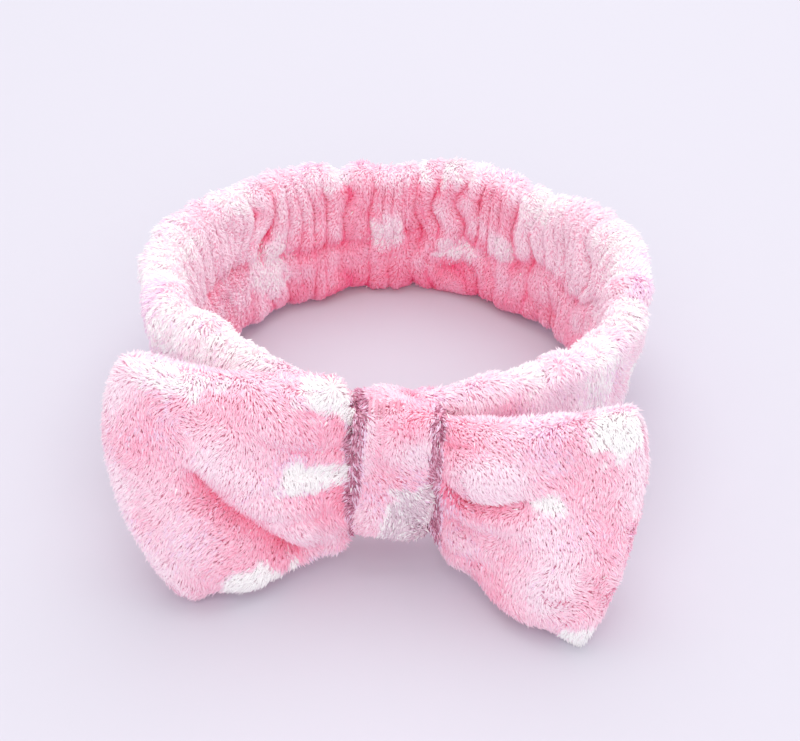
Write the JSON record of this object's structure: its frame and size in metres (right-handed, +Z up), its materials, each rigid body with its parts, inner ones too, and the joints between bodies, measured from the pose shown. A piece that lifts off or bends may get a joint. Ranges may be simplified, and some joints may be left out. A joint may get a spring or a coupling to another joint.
{
  "type": "spa headband",
  "caption": "Soft fleece spa headband: an elasticated fleece tube in a ring, with a flat fleece bow gathered under a knot at the front.",
  "frame": {"origin": "on the surface it lies on, under the centre of its bounding box", "axes": "+Z up from that surface, -Y the way the bow faces, +X to the right of someone facing the bow"},
  "size_m": [0.1744, 0.1959, 0.085],
  "materials": {
    "fleece": "plush coral fleece, combed pile, pale pink with soft white dots",
    "fleece_lining": "plush coral fleece, gathered, deeper pink in the folds",
    "elastic": "matt woven elastic",
    "thread": "spun polyester sewing thread"
  },
  "bodies": {
    "front": {"band_front_outer": "fleece", "band_front_lining": "fleece_lining", "band_front_seam": "thread", "band_end_seam": "thread", "elastic_end_stitches": "thread", "bow_centre": "fleece", "gather_thread": "thread", "knot_wrap": "fleece", "knot_seam": "thread"},
    "rear": {"band_rear_outer": "fleece", "band_rear_lining": "fleece_lining", "band_rear_seam": "thread", "elastic_band": "elastic"},
    "left_loop": {"left_loop_front": "fleece", "left_loop_back": "fleece", "left_loop_seam": "thread"},
    "right_loop": {"right_loop_front": "fleece", "right_loop_back": "fleece", "right_loop_seam": "thread"}
  },
  "joints": [
    {"name": "rear_stretch", "type": "slide", "parent": "front", "child": "rear", "axis": [0, 1, 0], "range_m": [0, 0.045], "stiffness_N_per_m": 120, "deforming": ["elastic_band"]},
    {"name": "left_loop_flex", "type": "hinge", "parent": "front", "child": "left_loop", "pos_m": [-0.02025, -0.0612, 0.0404], "axis": [0, 0.0958, 0.9954], "range_deg": [-10, 50], "stiffness_Nm_per_rad": 0.03},
    {"name": "right_loop_flex", "type": "hinge", "parent": "front", "child": "right_loop", "pos_m": [0.02025, -0.0612, 0.0404], "axis": [0, -0.0958, -0.9954], "range_deg": [-10, 50], "stiffness_Nm_per_rad": 0.03}
  ]
}
